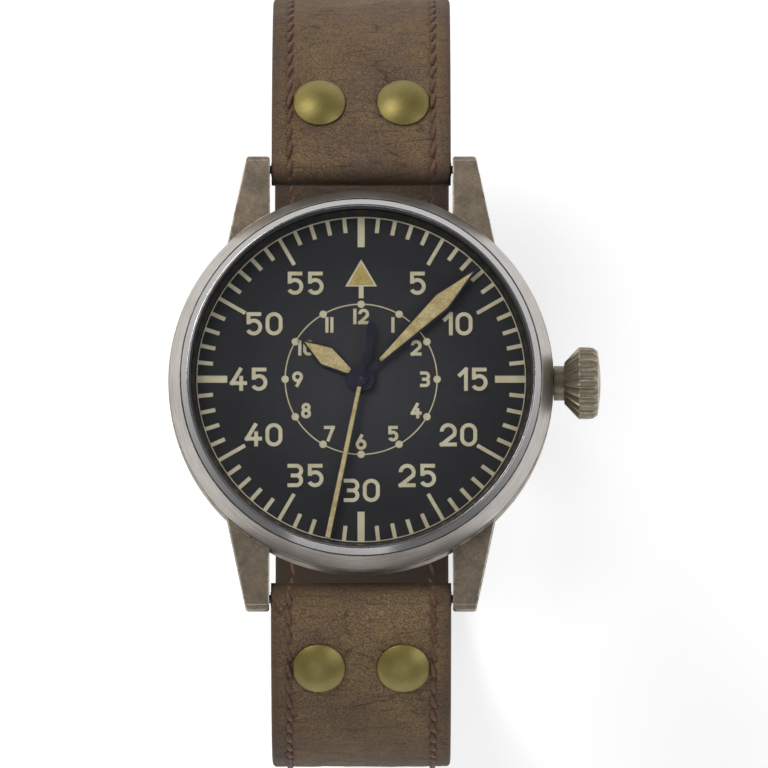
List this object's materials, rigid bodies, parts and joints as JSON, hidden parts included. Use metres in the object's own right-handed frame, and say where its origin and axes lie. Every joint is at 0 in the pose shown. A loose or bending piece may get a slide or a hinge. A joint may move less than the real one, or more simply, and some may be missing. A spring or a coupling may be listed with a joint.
{
  "type": "pilot watch",
  "caption": "Pilot's wristwatch with a domed crystal, fluted crown, riveted leather strap and a hand- and self-winding movement, standing unbuckled on its strap.",
  "frame": {"origin": "centre of the case back's flat outer face", "axes": "+Z out of the crystal, +Y to twelve o'clock, +X to the crown at three o'clock"},
  "size_m": [0.0471, 0.0862, 0.0625],
  "materials": {
    "case_steel": "brushed, worn",
    "bezel_steel": "polished inner ring, brushed outer band",
    "crystal_glass": "clear, domed",
    "gasket_rubber": "matt black",
    "flange_black": "satin black",
    "back_steel": "brushed, worn",
    "crown_steel": "worn",
    "bar_steel": "satin",
    "dial_black": "matt charcoal",
    "dial_print": "aged cream lacquer",
    "triangle_lume": "aged luminous paint",
    "hand_blue": "blued",
    "ring_nickel": "nickel-plated",
    "plate_nickel": "nickel-plated, fine grain",
    "jewel_ruby": "synthetic ruby",
    "screw_blue": "blued, slotted",
    "clamp_steel": "satin",
    "spring_steel": "tempered",
    "winding_steel": "polished",
    "rotor_metal": "striped",
    "wheel_brass": "gilt",
    "strap_leather": "aged brown-grey, worn",
    "lining_leather": "smooth",
    "keeper_leather": "aged brown-grey",
    "rivet_brass": "aged olive brass",
    "buckle_steel": "worn, satin"
  },
  "bodies": {
    "case": {"case_middle": "case_steel", "bezel": "bezel_steel", "crystal": "crystal_glass", "crystal_gasket": "gasket_rubber", "rehaut_ring": "flange_black", "case_back": "back_steel", "case_back_gasket": "gasket_rubber", "crown_tube": "crown_steel", "spring_bars": "bar_steel", "dial": "dial_black", "dial_tracks": "dial_print", "dial_numerals": "dial_print", "triangle_marker": "triangle_lume", "movement_ring": "ring_nickel", "mainplate": "plate_nickel", "barrel_bridge": "plate_nickel", "train_bridge": "plate_nickel", "balance_cock": "plate_nickel", "pallet_bridge": "plate_nickel", "jewels": "jewel_ruby", "bridge_screws": "screw_blue", "casing_clamps": "clamp_steel", "clamp_screws": "screw_blue", "hairspring": "spring_steel", "rotor_bearing": "clamp_steel"},
    "winding_pinion": {"winding_pinion": "winding_steel"},
    "crown": {"crown": "crown_steel", "crown_gasket": "gasket_rubber", "winding_stem": "winding_steel"},
    "sliding_clutch": {"sliding_clutch": "winding_steel"},
    "crown_wheel": {"crown_wheel": "winding_steel"},
    "ratchet": {"ratchet_wheel": "winding_steel", "barrel_arbor": "winding_steel"},
    "click": {"click": "winding_steel"},
    "rotor": {"oscillating_weight": "rotor_metal"},
    "barrel": {"mainspring_barrel": "wheel_brass", "mainspring": "spring_steel"},
    "minutes": {"center_wheel": "wheel_brass", "cannon_pinion": "winding_steel", "minute_hand": "hand_blue"},
    "third": {"third_wheel": "wheel_brass"},
    "seconds": {"fourth_wheel": "wheel_brass", "seconds_hand": "hand_blue"},
    "hours": {"hour_wheel": "wheel_brass", "hour_hand": "hand_blue"},
    "minute_wheel": {"minute_wheel": "wheel_brass"},
    "escape": {"escape_wheel": "wheel_brass"},
    "pallets": {"pallet_fork": "winding_steel"},
    "balance": {"balance_wheel": "wheel_brass"},
    "short_half": {"short_strap": "strap_leather", "short_strap_lining": "lining_leather", "short_strap_rivets": "rivet_brass", "fixed_keeper": "keeper_leather"},
    "long_half": {"long_strap": "strap_leather", "long_strap_lining": "lining_leather", "long_strap_rivets": "rivet_brass"},
    "buckle": {"buckle_frame": "buckle_steel", "buckle_bar": "buckle_steel"},
    "tongue": {"buckle_tongue": "buckle_steel"},
    "free_keeper": {"free_keeper": "keeper_leather"}
  },
  "joints": [
    {"name": "seconds_turn", "type": "hinge", "parent": "case", "child": "seconds", "pos_m": [0, 0, 0.008], "axis": [0, 0, -1], "continuous": true},
    {"name": "third_turn", "type": "hinge", "parent": "case", "child": "third", "pos_m": [-0.00086, -0.00487, 0.005], "axis": [0, 0, -1], "continuous": true},
    {"name": "minutes_turn", "type": "hinge", "parent": "case", "child": "minutes", "pos_m": [0, 0, 0.005], "axis": [0, 0, -1], "continuous": true},
    {"name": "barrel_turn", "type": "hinge", "parent": "case", "child": "barrel", "pos_m": [0.00278, 0.00525, 0.005], "axis": [0, 0, -1], "continuous": true},
    {"name": "minute_wheel_turn", "type": "hinge", "parent": "case", "child": "minute_wheel", "pos_m": [0.00197, -0.00138, 0.0075], "axis": [0, 0, -1], "continuous": true},
    {"name": "hours_turn", "type": "hinge", "parent": "case", "child": "hours", "pos_m": [0, 0, 0.008], "axis": [0, 0, -1], "continuous": true},
    {"name": "escape_turn", "type": "hinge", "parent": "case", "child": "escape", "pos_m": [-0.00489, -0.00131, 0.005], "axis": [0, 0, -1], "continuous": true},
    {"name": "pallet_rock", "type": "hinge", "parent": "case", "child": "pallets", "pos_m": [-0.00631, 0.0008, 0.0052], "axis": [0, 0, 1], "range_deg": [-5, 5]},
    {"name": "balance_swing", "type": "hinge", "parent": "case", "child": "balance", "pos_m": [-0.00796, 0.00325, 0.0043], "axis": [0, 0, 1], "range_deg": [-270, 270], "stiffness_Nm_per_rad": 0.00000016},
    {"name": "rotor_turn", "type": "hinge", "parent": "case", "child": "rotor", "pos_m": [0, 0, 0.0025], "axis": [0, 0, 1], "continuous": true},
    {"name": "crown_turn", "type": "hinge", "parent": "case", "child": "winding_pinion", "pos_m": [0.01, 0, 0.0061], "axis": [1, 0, 0], "continuous": true},
    {"name": "crown_pull", "type": "slide", "parent": "winding_pinion", "child": "crown", "axis": [1, 0, 0], "range_m": [0, 0.0012]},
    {"name": "clutch_slide", "type": "slide", "parent": "winding_pinion", "child": "sliding_clutch", "axis": [1, 0, 0], "range_m": [-0.0006, 0]},
    {"name": "crown_wheel_turn", "type": "hinge", "parent": "case", "child": "crown_wheel", "pos_m": [0.008, 0, 0.003], "axis": [0, 0, 1], "continuous": true},
    {"name": "ratchet_turn", "type": "hinge", "parent": "case", "child": "ratchet", "pos_m": [0.00278, 0.00525, 0.003], "axis": [0, 0, 1], "continuous": true},
    {"name": "click_lift", "type": "hinge", "parent": "case", "child": "click", "pos_m": [0.00181, 0.01076, 0.003], "axis": [0, 0, 1], "range_deg": [0, 8]},
    {"name": "short_strap_swing", "type": "hinge", "parent": "case", "child": "short_half", "pos_m": [0, 0.0237, 0.0057], "axis": [1, 0, 0], "range_deg": [0, 60]},
    {"name": "long_strap_swing", "type": "hinge", "parent": "case", "child": "long_half", "pos_m": [0, -0.0237, 0.0057], "axis": [-1, 0, 0], "range_deg": [0, 60]},
    {"name": "buckle_swing", "type": "hinge", "parent": "short_half", "child": "buckle", "pos_m": [0, 0.00861, -0.03447], "axis": [1, 0, 0], "range_deg": [-45, 25]},
    {"name": "tongue_swing", "type": "hinge", "parent": "buckle", "child": "tongue", "pos_m": [0, 0.00861, -0.03447], "axis": [1, 0, 0], "range_deg": [0, 90]},
    {"name": "keeper_slide", "type": "slide", "parent": "short_half", "child": "free_keeper", "axis": [0, 1, 0], "range_m": [-0.0006, 0.0035]}
  ],
  "couplings": [
    {"joint": "third_turn", "follows": "seconds_turn", "ratio": -0.13333},
    {"joint": "minutes_turn", "follows": "seconds_turn", "ratio": 0.016667},
    {"joint": "barrel_turn", "follows": "seconds_turn", "ratio": -0.0020833},
    {"joint": "minute_wheel_turn", "follows": "seconds_turn", "ratio": -0.0055556},
    {"joint": "hours_turn", "follows": "seconds_turn", "ratio": 0.0013889},
    {"joint": "escape_turn", "follows": "seconds_turn", "ratio": -10},
    {"joint": "crown_wheel_turn", "follows": "crown_turn", "ratio": 0.6},
    {"joint": "ratchet_turn", "follows": "crown_turn", "ratio": -0.56842},
    {"joint": "clutch_slide", "follows": "crown_pull", "ratio": -0.5}
  ]
}
